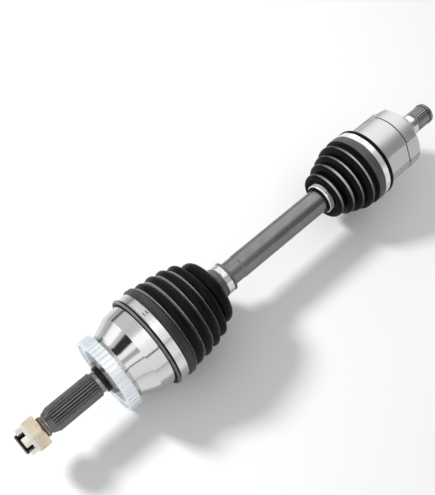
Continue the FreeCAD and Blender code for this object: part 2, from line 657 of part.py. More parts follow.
def boots():
    skin = [
        (d.outer_shoulder_x, d.outer_shoulder_r),
        OUTER_FIRST_VALLEY,
        *folds(OUTER_FOLDS),
        (d.outer_cuff_x, d.outer_cuff_r + d.outer_cuff_flare),
        (d.outer_cuff_x + d.boot_bevel, d.outer_cuff_r),
    ]
    clamp_end = d.outer_clamp_x + d.outer_clamp_len
    outline = [
        (d.outer_boot_start_x + d.boot_bevel, d.bell_r),
        (d.outer_boot_start_x, d.bell_r + d.boot_bevel),
        (d.outer_boot_start_x, d.outer_boot_lip_r - d.boot_bevel),
        (d.outer_boot_start_x + d.boot_bevel, d.outer_boot_lip_r),
        (d.outer_clamp_x - d.boot_bevel, d.outer_boot_lip_r),
        (d.outer_clamp_x, d.outer_boot_seat_r),
        (clamp_end, d.outer_boot_seat_r),
        (clamp_end + d.boot_bevel, d.outer_shoulder_r),
        *skin,
        (d.outer_small_clamp_x, d.outer_cuff_r),
        (d.outer_small_clamp_x, d.outer_cuff_r - d.clamp_seat_depth),
        (d.outer_small_clamp_x + d.outer_small_clamp_len, d.outer_cuff_r - d.clamp_seat_depth),
        (d.outer_small_clamp_x + d.outer_small_clamp_len, d.outer_cuff_r),
        (d.outer_cuff_end_x, d.outer_cuff_r),
        (d.outer_cuff_end_x, d.shaft_r + d.boot_gap),
        (d.outer_cuff_x + d.boot_bevel, d.shaft_r + d.boot_gap),
        *lining(skin[:-2]),
        (d.bell_mouth_x + d.boot_end_gap, d.outer_pocket_r),
        (d.bell_mouth_x + d.boot_end_gap, d.bell_seat_r),
        (d.bell_seat_x + d.boot_step_gap, d.bell_seat_r),
    ]
    node("outer_boot", turned("outer_boot_skin", outline))

    skin = [
        INNER_FIRST_VALLEY,
        *folds(INNER_FOLDS),
        (d.inner_shoulder_x, d.inner_shoulder_r),
    ]
    clamp_end = d.inner_clamp_x + d.inner_clamp_len
    outline = [
        (d.inner_cuff_x, d.shaft_big_r + d.boot_gap),
        (d.inner_cuff_x, d.inner_cuff_r),
        (d.inner_small_clamp_x, d.inner_cuff_r),
        (d.inner_small_clamp_x, d.inner_cuff_r - d.clamp_seat_depth),
        (d.inner_small_clamp_x + d.inner_small_clamp_len, d.inner_cuff_r - d.clamp_seat_depth),
        (d.inner_small_clamp_x + d.inner_small_clamp_len, d.inner_cuff_r),
        *skin,
        (d.inner_clamp_x - d.boot_bevel, d.inner_shoulder_r),
        (d.inner_clamp_x, d.inner_seat_r),
        (clamp_end, d.inner_seat_r),
        (clamp_end + d.boot_bevel, d.inner_shoulder_r - d.boot_bevel),
        (d.inner_boot_end_x, d.inner_shoulder_r - d.boot_bevel),
        (d.inner_boot_end_x, d.housing_seat_r),
        (d.housing_mouth_x - d.boot_end_gap, d.housing_seat_r),
        (d.housing_mouth_x - d.boot_end_gap, d.inner_shoulder_r - d.boot_wall),
        *lining(skin),
        (d.inner_cuff_end_x, d.shaft_big_r + d.boot_gap),
    ]
    node("inner_boot", turned("inner_boot_skin", outline))


def clamp(label, start, length, inner_r, ear_degrees):
    """A band with the raised lock where its two ends overlap."""
    band = cylinder_x(label + "_band", start, length, inner_r + d.clamp_t)
    ear = make("Part::Box", label + "_ear", Length=length - d.clamp_ear_inset * 2, Width=d.clamp_ear_w,
               Height=d.clamp_t + d.clamp_ear_h)
    y, z = across(inner_r - d.clamp_ear_sink, ear_degrees)
    side = outward(ear_degrees).multVec(FreeCAD.Vector(0, -plain(d.clamp_ear_w) / 2, 0))
    place(ear, start + d.clamp_ear_inset, y + side.y, z + side.z, outward(ear_degrees))
    hole = cylinder_x(label + "_hole", start - OVERRUN, length + OVERRUN * 2, inner_r)
    node(label, cut(label, joined(label + "_solid", [band, ear]), hole))


def clamps():
    small_gap = d.boot_gap - d.clamp_seat_depth
    for label, start, length, inner_r, ear_degrees in (
        ("outer_boot_large_clamp", d.outer_clamp_x, d.outer_clamp_len, d.outer_boot_seat_r,
         OUTER_LARGE_LOCK),
        ("outer_boot_small_clamp", d.outer_small_clamp_x, d.outer_small_clamp_len,
         d.outer_cuff_r + small_gap, SMALL_LOCK),
        ("inner_boot_large_clamp", d.inner_clamp_x, d.inner_clamp_len, d.inner_seat_r,
         INNER_LARGE_LOCK),
        ("inner_boot_small_clamp", d.inner_small_clamp_x, d.inner_small_clamp_len,
         d.inner_cuff_r + small_gap, SMALL_LOCK),
    ):
        clamp(label, start + d.clamp_gap, length - d.clamp_gap * 2, inner_r, ear_degrees)


def export():
    """Checks every object, then writes each sub-part to its own file."""
    doc.recompute()
    for thing in doc.Objects:
        if "Invalid" in thing.State or "Error" in thing.State:
            raise RuntimeError("%s (%s) is %s" % (thing.Name, thing.Label, thing.State))
    for thing in nodes:
        if thing.Shape.isNull() or not thing.Shape.isValid():
            raise RuntimeError("%s has no valid shape" % thing.Label)
    os.makedirs("parts", exist_ok=True)
    for thing in nodes:
        thing.Shape.exportStep("parts/%s.step" % thing.Label)
        box = thing.Shape.BoundBox
        print("%-26s solids %2d  volume %9.0f  x %7.1f to %7.1f  r %5.1f" % (
            thing.Label, len(thing.Shape.Solids), thing.Shape.Volume, box.XMin, box.XMax,
            max(box.YMax, box.ZMax, -box.YMin, -box.ZMin)))


outer_joint_housing()
abs_tone_ring()
axle_nut()
ball_joint()
axle_shaft()
tripod()
tripod_housing()
boots()
clamps()
export()
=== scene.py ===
import json
import math

import bmesh
import bpy
from mathutils import Matrix, Vector


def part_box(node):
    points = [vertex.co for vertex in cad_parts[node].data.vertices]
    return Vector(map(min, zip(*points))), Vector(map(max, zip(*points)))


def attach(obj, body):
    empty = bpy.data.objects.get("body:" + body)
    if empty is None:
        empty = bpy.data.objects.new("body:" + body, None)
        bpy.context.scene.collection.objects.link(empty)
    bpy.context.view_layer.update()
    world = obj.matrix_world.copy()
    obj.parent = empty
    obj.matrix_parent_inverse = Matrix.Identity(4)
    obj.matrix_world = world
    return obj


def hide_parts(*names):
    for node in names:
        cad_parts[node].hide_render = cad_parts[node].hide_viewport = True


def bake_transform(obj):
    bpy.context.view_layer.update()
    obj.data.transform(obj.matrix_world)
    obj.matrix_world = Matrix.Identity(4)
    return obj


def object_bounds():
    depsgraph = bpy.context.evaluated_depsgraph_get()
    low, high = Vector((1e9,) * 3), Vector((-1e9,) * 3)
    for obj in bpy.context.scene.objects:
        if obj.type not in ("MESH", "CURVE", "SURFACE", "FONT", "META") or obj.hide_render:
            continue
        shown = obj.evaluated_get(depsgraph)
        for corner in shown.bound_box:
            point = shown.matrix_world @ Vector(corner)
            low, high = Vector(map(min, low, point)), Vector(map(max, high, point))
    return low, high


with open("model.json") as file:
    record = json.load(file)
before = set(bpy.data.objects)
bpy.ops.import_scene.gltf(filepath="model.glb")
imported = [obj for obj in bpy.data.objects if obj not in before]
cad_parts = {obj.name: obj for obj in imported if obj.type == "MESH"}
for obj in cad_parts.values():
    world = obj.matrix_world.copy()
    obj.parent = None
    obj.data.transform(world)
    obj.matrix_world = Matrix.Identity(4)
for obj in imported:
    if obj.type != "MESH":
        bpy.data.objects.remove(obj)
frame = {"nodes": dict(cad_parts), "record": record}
cad_low, cad_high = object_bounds()

MM = 0.001
# A full turn in radians, and the steps that round pieces are made in.
ROUND = 2 * math.pi
TURN_STEPS = 144

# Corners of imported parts' boxes, and the tip of the gearbox stub, in metres. X runs along the
# shaft towards the gearbox; a place along it is called a station.
nut_low, nut_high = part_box("axle_nut")
inner_low, inner_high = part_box("inner_boot")
stub_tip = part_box("tripod_housing")[1].x


# ---------------------------------------------------------------- camera

# Lens and sensor in millimetres, the way the camera faces, and the line across the picture
# that would be level without the roll.
LENS = 58.2
SENSOR = 36.0
FAR_CLIP = 50.0
FORWARD = Vector((0.325, 0.345, -0.881)).normalized()
LEVEL = Vector((0.7275, -0.686, 0.0)).normalized()
ROLL = math.radians(0.89)
RIGHT = LEVEL * math.cos(ROLL) + LEVEL.cross(FORWARD) * math.sin(ROLL)
UP = RIGHT.cross(FORWARD)
# The point on the shaft's axis that fixes where the camera stands: its station, its distance
# in front of the camera, and how far right of and below the picture's middle it lies, in metres.
SEEN_X = 0.176
SEEN_DEPTH = 0.832
SEEN_RIGHT = 0.0189
SEEN_DOWN = 0.022


def make_camera():
    data = bpy.data.cameras.new("photo_camera")
    data.lens = LENS
    data.sensor_width = SENSOR
    data.clip_end = FAR_CLIP
    camera = bpy.data.objects.new("photo_camera", data)
    bpy.context.scene.collection.objects.link(camera)
    seen = Vector((SEEN_X, 0, 0))
    place = seen - FORWARD * SEEN_DEPTH - RIGHT * SEEN_RIGHT + UP * SEEN_DOWN
    axes = Matrix((RIGHT, UP, -FORWARD)).transposed()
    camera.matrix_world = Matrix.Translation(place) @ axes.to_4x4()
    bpy.context.scene.camera = camera


# ---------------------------------------------------------------- node helpers

class Nodes:
    """Short names for building a material or world out of nodes."""

    def __init__(self, tree):
        self.tree = tree
        tree.nodes.clear()

    def add(self, kind, **settings):
        node = self.tree.nodes.new(kind)
        for name, value in settings.items():
            setattr(node, name, value)
        return node

    def link(self, source, target):
        self.tree.links.new(source, target)

    def put(self, value, socket):
        """Feeds a socket from another socket, or sets its own value."""
        if isinstance(value, bpy.types.NodeSocket):
            self.link(value, socket)
        else:
            socket.default_value = value

    def math(self, operation, a, b=0.0, clamp=False, plus=0.0):
        """plus is only for MULTIPLY_ADD."""
        node = self.add("ShaderNodeMath", operation=operation, use_clamp=clamp)
        self.put(a, node.inputs[0])
        self.put(b, node.inputs[1])
        self.put(plus, node.inputs[2])
        return node.outputs[0]

    def ramp(self, factor, stops):
        """stops: (position, grey or colour)."""
        node = self.add("ShaderNodeValToRGB")
        elements = node.color_ramp.elements
        while len(elements) < len(stops):
            elements.new(1.0)
        for element, (position, value) in zip(elements, stops):
            element.position = position
            grey = isinstance(value, (int, float))
            element.color = (value, value, value, 1) if grey else (*value, 1)
        self.link(factor, node.inputs[0])
        return node.outputs[0]

    def spread(self, noise, low, high):
        """From low to high over the middle of a noise's range."""
        return self.ramp(noise, [(0.3, low), (0.7, high)])

    def mix(self, factor, a, b):
        node = self.add("ShaderNodeMix", data_type="RGBA")
        self.put(factor, node.inputs[0])
        self.put(a, node.inputs[6])
        self.put(b, node.inputs[7])
        return node.outputs[2]

    def noise(self, vector, scale, detail=3.0, rough=0.5):
        node = self.add("ShaderNodeTexNoise")
        self.link(vector, node.inputs["Vector"])
        node.inputs["Scale"].default_value = scale
        node.inputs["Detail"].default_value = detail
        node.inputs["Roughness"].default_value = rough
        return node.outputs["Fac"]

    def scaled(self, vector, scale):
        node = self.add("ShaderNodeMapping")
        self.link(vector, node.inputs["Vector"])
        node.inputs["Scale"].default_value = scale
        return node.outputs[0]

    def bump(self, height, strength, distance, normal=None):
        node = self.add("ShaderNodeBump")
        node.inputs["Strength"].default_value = strength
        node.inputs["Distance"].default_value = distance
        self.link(height, node.inputs["Height"])
        if normal is not None:
            self.link(normal, node.inputs["Normal"])
        return node.outputs[0]


def new_material(name, metallic, specular=0.5):
    """A Principled material; returns it, its nodes, the shader and places in the shared frame."""
    material = bpy.data.materials.new(name)
    material.use_nodes = True
    nodes = Nodes(material.node_tree)
    output = nodes.add("ShaderNodeOutputMaterial")
    shader = nodes.add("ShaderNodeBsdfPrincipled")
    nodes.link(shader.outputs[0], output.inputs["Surface"])
    shader.inputs["Metallic"].default_value = metallic
    shader.inputs["Specular IOR Level"].default_value = specular
    place = nodes.add("ShaderNodeTexCoord").outputs["Object"]
    return material, nodes, shader, place


def finish_material(nodes, shader, color, roughness, normal=None):
    nodes.link(color, shader.inputs["Base Color"])
    nodes.put(roughness, shader.inputs["Roughness"])
    if normal is not None:
        nodes.link(normal, shader.inputs["Normal"])


# How soft the edge between two finishes is, and how far past an end a finish is carried, in metres.
SOFT_EDGE = 0.0004
END_MARGIN = 0.01


def station(nodes, place):
    """The distance along the shaft, in metres."""
    split = nodes.add("ShaderNodeSeparateXYZ")
    nodes.link(place, split.inputs[0])
    return split.outputs[0]


def from_axis(nodes, place):
    """The distance from the shaft's axis, in metres."""
    flat = nodes.add("ShaderNodeVectorMath", operation="LENGTH")
    nodes.link(nodes.scaled(place, (0.0, 1.0, 1.0)), flat.inputs[0])
    return flat.outputs["Value"]


def between(nodes, x, start, end, soft=SOFT_EDGE):
    """1 between two stations, 0 elsewhere, with soft as the width of each edge."""
    rise = nodes.math("MULTIPLY_ADD", nodes.math("SUBTRACT", x, start), 1 / soft, True, plus=0.5)
    fall = nodes.math("MULTIPLY_ADD", nodes.math("SUBTRACT", end, x), 1 / soft, True, plus=0.5)
    return nodes.math("MULTIPLY", rise, fall)


# Noise this much finer along the shaft than across it draws out into rings.
LATHE = (2600.0, 6.0, 6.0)


def lathe_lines(nodes, place):
    """Fine tool marks that run round the shaft."""
    return nodes.noise(nodes.scaled(place, LATHE), 1.0, 2.0)


# ---------------------------------------------------------------- materials

# Where the finish changes along the wheel end's forging, in metres. The thread is painted dark as
# shade under the nut and for the nut's shade before it; the castle is the slotted end of the nut.
THREAD_END = -0.0674
SPLINE_END = -0.0095
UNDERCUT_END = -0.0045
COLLAR_END = 0.0056
COLLAR_RADIUS = 0.0205
COLLAR_FADE = 0.004
RING_SEAT_START = 0.0139
RING_SEAT_END = 0.0181
NUT_SHADE = 0.002
CASTLE_LENGTH = 0.0095
# The same on the gearbox end's forging, counted back from the tip of its stub.
# First a dark line painted as the shade of a groove, then the ground journal.
GROOVE_SHADE_START = 0.0702
GROOVE_SHADE_END = 0.0687
JOURNAL_START = 0.0345
JOURNAL_END = 0.0255
# How much less metallic the inner boot's clamps are than the outer boot's.
METALLIC_LOSS = 0.45
# The side across the shaft towards which the painted highlight on the inner boot's crests is brightest.
HIGHLIGHT_SIDE = (0.0, -0.365, 0.931)
ROUGHNESS_SPREAD = 0.12


def machined_forging():
    """Bright turned bell with a dark collar; grey spline and paler undercut; brown-grey thread."""
    material, n, shader, place = new_material("machined_forging", 1.0)
    x = station(n, place)
    marks = lathe_lines(n, place)
    mottled = n.noise(place, 240.0, 4.0, 0.6)
    grain = n.noise(place, 1500.0, 3.0, 0.6)
    dark = n.spread(mottled, 0.02, 0.05)
    phosphate = n.spread(mottled, 0.13, 0.20)
    brown = n.spread(mottled, (0.20, 0.16, 0.14), (0.40, 0.34, 0.31))
    bright = n.ramp(marks, [(0.25, 0.70), (0.75, 0.78)])
    seat = n.ramp(marks, [(0.2, 0.42), (0.8, 0.56)])
    # Painted shade: the thread is dark inside the nut and for NUT_SHADE before it.
    is_in_nut_shade = between(n, x, nut_low.x - NUT_SHADE, nut_high.x)
    is_thread = between(n, x, cad_low.x - END_MARGIN, THREAD_END)
    is_spline = between(n, x, THREAD_END, SPLINE_END)
    is_undercut = between(n, x, SPLINE_END, UNDERCUT_END)
    near_axis = between(n, from_axis(n, place), -END_MARGIN, COLLAR_RADIUS, COLLAR_FADE)
    is_collar = n.math("MULTIPLY", between(n, x, UNDERCUT_END, COLLAR_END), near_axis)
    is_ring_seat = between(n, x, RING_SEAT_START, RING_SEAT_END)
    color = n.mix(is_thread, bright, brown)
    color = n.mix(is_in_nut_shade, color, dark)
    color = n.mix(is_spline, color, phosphate)
    color = n.mix(is_undercut, color, (0.30, 0.30, 0.31, 1))
    color = n.mix(is_collar, color, dark)
    color = n.mix(is_ring_seat, color, seat)
    rough_dark = n.spread(grain, 0.30, 0.44)
    rough_bright = n.ramp(marks, [(0.2, 0.07), (0.8, 0.13)])
    on_thread = n.math("ADD", is_thread, is_in_nut_shade)
    past_thread = n.math("ADD", is_spline, is_collar)
    is_dark = n.math("ADD", on_thread, past_thread, True)
    roughness = n.mix(is_dark, rough_bright, rough_dark)
    fine = n.bump(marks, 0.04, 0.0002)
    normal = n.bump(grain, 0.06, 0.0002, fine)
    finish_material(n, shader, color, roughness, normal)
    return material


def zinc_plate():
    """Pale, slightly blue plating."""
    material, n, shader, place = new_material("zinc_plate", 0.75)
    cloud = n.noise(place, 60.0, 3.0)
    grain = n.noise(place, 1800.0, 2.0)
    color = n.spread(cloud, (0.86, 0.93, 0.98), (0.95, 0.98, 1.0))
    roughness = n.spread(grain, 0.30, 0.42)
    finish_material(n, shader, color, roughness, n.bump(grain, 0.08, 0.0002))
    return material


def yellow_zinc():
    """Yellowish hexagon, paler castle."""
    material, n, shader, place = new_material("yellow_zinc", 0.85)
    cloud = n.noise(place, 130.0, 5.0, 0.65)
    grain = n.noise(place, 1600.0, 3.0)
    dark, middle, light = (0.66, 0.54, 0.39), (0.82, 0.71, 0.54), (0.90, 0.82, 0.66)
    hexagon = n.ramp(cloud, [(0.28, dark), (0.5, middle), (0.75, light)])
    x = station(n, place)
    is_castle = between(n, x, nut_low.x - END_MARGIN, nut_low.x + CASTLE_LENGTH)
    color = n.mix(is_castle, hexagon, (0.88, 0.85, 0.78, 1))
    roughness = n.spread(grain, 0.34, 0.50)
    finish_material(n, shader, color, roughness, n.bump(grain, 0.15, 0.0002))
    return material


def shaft_coating():
    """Grey steel with a fine grain."""
    material, n, shader, place = new_material("shaft_coating", 1.0)
    cloud = n.noise(place, 90.0, 4.0, 0.6)
    grain = n.noise(place, 2200.0, 3.0, 0.6)
    color = n.spread(cloud, 0.21, 0.26)
    roughness = n.spread(grain, 0.20, 0.29)
    finish_material(n, shader, color, roughness, n.bump(grain, 0.22, 0.0003))
    return material


def satin_forging():
    """Light satin housing with a dark line painted as the shade of a groove; its stub has a ground journal
    and a darker spline.
    """
    material, n, shader, place = new_material("satin_forging", 1.0)
    x = station(n, place)
    marks = lathe_lines(n, place)
    grain = n.noise(place, 900.0, 4.0, 0.6)
    satin = n.spread(grain, 0.60, 0.70)
    is_journal = between(n, x, stub_tip - JOURNAL_START, stub_tip - JOURNAL_END)
    is_spline = between(n, x, stub_tip - JOURNAL_END, stub_tip + END_MARGIN)
    color = n.mix(is_journal, satin, (0.80, 0.80, 0.80, 1))
    color = n.mix(is_spline, color, (0.33, 0.33, 0.33, 1))
    # Painted shade: a dark line where a groove runs round the housing.
    is_groove_shade = between(n, x, stub_tip - GROOVE_SHADE_START, stub_tip - GROOVE_SHADE_END)
    color = n.mix(is_groove_shade, color, (0.10, 0.10, 0.10, 1))
    rough_satin = n.spread(grain, 0.34, 0.44)
    rough_ground = n.ramp(marks, [(0.2, 0.16), (0.8, 0.24)])
    roughness = n.mix(is_journal, rough_satin, rough_ground)
    fine = n.bump(marks, 0.05, 0.0002)
    finish_material(n, shader, color, roughness, n.bump(grain, 0.08, 0.0002, fine))
    return material


def bearing_steel():
    """Ground and polished steel."""
    material, n, shader, place = new_material("bearing_steel", 1.0)
    grain = n.noise(place, 500.0, 3.0)
    color = n.spread(grain, 0.66, 0.74)
    roughness = n.spread(grain, 0.12, 0.22)
    finish_material(n, shader, color, roughness, n.bump(grain, 0.03, 0.0001))
    return material


def spring_steel():
    """Dark, dull steel."""
    material, n, shader, place = new_material("spring_steel", 1.0)
    grain = n.noise(place, 900.0, 3.0)
    color = n.spread(grain, 0.12, 0.20)
    roughness = n.spread(grain, 0.30, 0.42)
    finish_material(n, shader, color, roughness, n.bump(grain, 0.08, 0.0001))
    return material


def clamp_steel():
    """Bright bands; the inner boot's are whiter and less of a mirror."""
    material, n, shader, place = new_material("clamp_steel", 1.0)
    marks = lathe_lines(n, place)
    grain = n.noise(place, 700.0, 3.0)
    plain = n.ramp(marks, [(0.2, 0.76), (0.8, 0.86)])
    is_inner = between(n, station(n, place), inner_low.x, inner_high.x)
    color = n.mix(is_inner, plain, (0.98, 0.98, 0.98, 1))
    metallic = n.math("MULTIPLY_ADD", is_inner, -METALLIC_LOSS, plus=1.0)
    n.link(metallic, shader.inputs["Metallic"])
    roughness = n.spread(grain, 0.17, 0.27)
    finish_material(n, shader, color, roughness, n.bump(marks, 0.05, 0.0001))
    return material


def boot_rubber():
    """Deep black rubber."""
    material, n, shader, place = new_material("boot_rubber", 0.0, specular=0.07)
    cloud = n.noise(place, 45.0, 4.0, 0.6)
    grain = n.noise(place, 1400.0, 4.0, 0.6)
    color = n.spread(cloud, 0.0035, 0.006)
    smudge = n.math("MULTIPLY", cloud, 0.10)
    roughness = n.math("ADD", n.spread(grain, 0.26, 0.34), smudge)
    finish_material(n, shader, color, roughness, n.bump(grain, 0.10, 0.0003))
    return material


def pale_rubber(name, low, high, rough, on_top=False):
    """Rubber painted greyer as sheen and highlights, over real gloss from a higher specular. on_top fades
    it to black away from one side across the shaft.
    """
    material, n, shader, place = new_material(name, 0.0, specular=0.4)
    cloud = n.noise(place, 160.0, 4.0, 0.6)
    grain = n.noise(place, 1400.0, 4.0, 0.6)
    color = n.spread(cloud, low, high)
    if on_top:
        # Painted highlight: the colour fades to black away from the highlight side.
        upward = n.add("ShaderNodeVectorMath", operation="DOT_PRODUCT")
        n.link(place, upward.inputs[0])
        upward.inputs[1].default_value = HIGHLIGHT_SIDE
        share = n.math("DIVIDE", upward.outputs["Value"], from_axis(n, place))
        fading = n.ramp(share, [(0.50, 1.0), (0.80, 0.65), (0.97, 0.0)])
        color = n.mix(fading, color, (0.012, 0.012, 0.012, 1))
    roughness = n.spread(grain, rough, rough + ROUGHNESS_SPREAD)
    finish_material(n, shader, color, roughness, n.bump(grain, 0.08, 0.0002))
    return material


MAKERS = {
    "machined_forging": machined_forging,
    "zinc_plate": zinc_plate,
    "yellow_zinc": yellow_zinc,
    "shaft_coating": shaft_coating,
    "satin_forging": satin_forging,
    "bearing_steel": bearing_steel,
    "spring_steel": spring_steel,
    "clamp_steel": clamp_steel,
    "boot_rubber": boot_rubber,
}


# ---------------------------------------------------------------- mesh helpers

# Faces that meet at less than this are shaded as one smooth surface, in degrees.
RUBBER_SMOOTH = 35.0
STEEL_SMOOTH = 25.0


def new_piece(name, vertices, faces, material, smooth_degrees):
    """A mesh object from vertices in metres."""
    mesh = bpy.data.meshes.new(name)
    mesh.from_pydata(vertices, [], faces)
    mesh.validate()
    solid = bmesh.new()
    solid.from_mesh(mesh)
    bmesh.ops.recalc_face_normals(solid, faces=solid.faces)
    solid.to_mesh(mesh)
    solid.free()
    mesh.materials.append(material)
    mesh.shade_smooth()
    mesh.set_sharp_from_angle(angle=math.radians(smooth_degrees))
    piece = bpy.data.objects.new(name, mesh)
    bpy.context.scene.collection.objects.link(piece)
    return piece


def skin_faces(count, rows, whole=True):
    """Faces from each row of points to the next; whole joins the last row to the first."""
    faces = []
    for row in range(rows if whole else rows - 1):
        here, there = row * count, (row + 1) % rows * count
        for i in range(count):
            j = (i + 1) % count
            faces.append((here + i, here + j, there + j, there + i))
    return faces


def revolved(name, outline, rubber):
    """A closed outline of (x, radius) points in metres, turned about the shaft's axis."""
    vertices = []
    for step in range(TURN_STEPS):
        angle = ROUND * step / TURN_STEPS
        cosine, sine = math.cos(angle), math.sin(angle)
        vertices += [(x, r * cosine, r * sine) for x, r in outline]
    faces = skin_faces(len(outline), TURN_STEPS)
    return new_piece(name, vertices, faces, rubber, RUBBER_SMOOTH)


# ---------------------------------------------------------------- boots

# Boots and clamps are drawn in millimetres. The first wall is the outer boot's. A fold whose
# fullness is above 2 is fuller than an ellipse, and a groove is flat for this far each way.
WALL = 2.3
INNER_WALL = 1.2
FOLD_POINTS = 15
FOLD_FULLNESS = 2.3
GROOVE_HALF = 0.45
# How far the painted highlight goes past the middle of a groove, and to each side of a crest.
GROOVE_REACH = 1.3
CREST_BEFORE = 1.0
CREST_AFTER = 1.3


def fold(start, crest, end):
    """One fold from valley to valley: a full, round crest with a narrow valley on each side."""
    points = []
    for step in range(1, FOLD_POINTS + 1):
        share = step / FOLD_POINTS
        angle = math.pi * (1 - share)
        u = math.cos(angle)
        if u < 0:
            x, base = crest[0] + (crest[0] - start[0]) * u, start[1]
        else:
            x, base = crest[0] + (end[0] - crest[0]) * u, end[1]
        lift = (1 - abs(u) ** FOLD_FULLNESS) ** (1 / FOLD_FULLNESS)
        points.append((x, base + (crest[1] - base) * lift))
    return points


def folds(start, rows):
    """Folds from the middle of one groove to the middle of the last, each groove a narrow flat."""
    points = [start]
    left = start
    for crest_x, crest_r, valley_x, valley_r in rows:
        left = (left[0] + GROOVE_HALF, left[1])
        right = (valley_x - GROOVE_HALF, valley_r)
        points += [left] + fold(left, (crest_x, crest_r), right)
        left = (valley_x, valley_r)
        points.append(left)
    return points


def arc(centre, radius, start, end, steps=6):
    """Points on a rounded corner, angles in degrees."""
    points = []
    for step in range(steps + 1):
        angle = math.radians(start + (end - start) * step / steps)
        points.append((centre[0] + radius * math.cos(angle), centre[1] + radius * math.sin(angle)))
    return points


def recolour(piece, zones, rubber):
    """Gives the outer faces between each zone's two stations another rubber."""
    mesh = piece.data
    mesh.materials.append(rubber)
    slot = len(mesh.materials) - 1
    for face in mesh.polygons:
        middle = face.center
        faces_out = face.normal.y * middle.y + face.normal.z * middle.z > 0
        if faces_out and any(start * MM < middle.x < end * MM for start, end in zones):
            face.material_index = slot


def closed(skin, inside):
    """An outline in metres from an outer skin and the inner points that lead back."""
    return [(x * MM, r * MM) for x, r in skin + inside]


def lining(skin, wall=WALL):
    """The inner skin, one wall under the outer one, in the opposite order."""
    return [(x, r - wall) for x, r in reversed(skin)]


# Each fold: crest station and radius, then station and radius of the valley that follows it.
OUTER_ROWS = (
    (83.7, 50.0, 90.0, 42.6),
    (96.3, 49.3, 102.6, 40.8),
    (108.7, 47.4, 114.9, 37.2),
    (121.3, 44.0, 127.6, 30.8),
    (134.2, 36.6, 144.6, 18.2),
)
OUTER_FIRST_VALLEY = (77.4, 45.2)
INNER_ROWS = (
    (321.5, 32.3, 326.3, 28.4),
    (331.8, 36.2, 337.3, 33.8),
    (343.4, 40.6, 349.0, 37.6),
)
INNER_FIRST_CREST = 310.4
INNER_FIRST_VALLEY = (316.5, 23.4)
# Radii that the boots sit on: the bell, the gearbox joint's mouth, and the shaft at each boot.
SEAT = 46.25
INNER_SEAT = 35.5
SHAFT_SMALL = 13.15
SHAFT_BIG = 13.65
# Zones of rubber painted greyer as sheen: start and end station.
LIP_ZONE = (52.0, 54.6)
SHOULDER_ZONE = (67.0, 75.5)
CUFF_ZONE = (145.6, 164.4)
INNER_SHOULDER_ZONE = (353.0, 363.0)


def outer_boot(rubber, dull, bright_sheen, groove_highlight):
    """Three lengths that join in the valleys."""
    lip = [(54.4, SEAT), (53.6, 47.4)] + arc((55.0, 50.0), 2.0, 200, 70) + [(56.4, 49.5)]
    shoulder = [(67.4, 49.5)] + arc((69.6, 50.4), 2.0, 150, 60) + arc((73.2, 48.9), 3.4, 75, -25)
    first = lip + shoulder + [OUTER_FIRST_VALLEY]
    inside = lining([OUTER_FIRST_VALLEY]) + [(71.0, 47.6), (70.2, SEAT)]
    one = revolved("outer_boot_large_end", closed(first, inside), rubber)

    middle = folds(OUTER_FIRST_VALLEY, OUTER_ROWS[:3])
    two = revolved("outer_boot_folds", closed(middle, lining(middle)), rubber)

    last = folds(OUTER_ROWS[2][2:], OUTER_ROWS[3:])
    cuff = [(146.2, 17.2), (147.2, 17.6), (148.0, 16.9), (149.4, 16.6)]
    cuff += arc((150.9, 16.4), 0.8, 150, 60, 4) + [(152.4, 15.8), (161.0, 15.8)]
    cuff += arc((162.4, 15.8), 1.2, 150, 0, 6) + [(163.9, 14.8), (164.4, 14.2)]
    inside = [(164.4, SHAFT_SMALL), (148.0, SHAFT_SMALL)] + lining(last)
    three = revolved("outer_boot_small_end", closed(last + cuff, inside), rubber)

    # Painted highlight lines along the grooves.
    valleys = [OUTER_FIRST_VALLEY[0]] + [row[2] for row in OUTER_ROWS]
    grooves = [(x - GROOVE_HALF, x + GROOVE_REACH) for x in valleys]
    # Painted sheen on the lip, shoulder and cuff.
    recolour(one, [LIP_ZONE], bright_sheen)
    recolour(one, [SHOULDER_ZONE], dull)
    recolour(two, grooves, groove_highlight)
    recolour(three, grooves, groove_highlight)
    recolour(three, [CUFF_ZONE], bright_sheen)

    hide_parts("outer_boot")
    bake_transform(one)
    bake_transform(two)
    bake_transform(three)


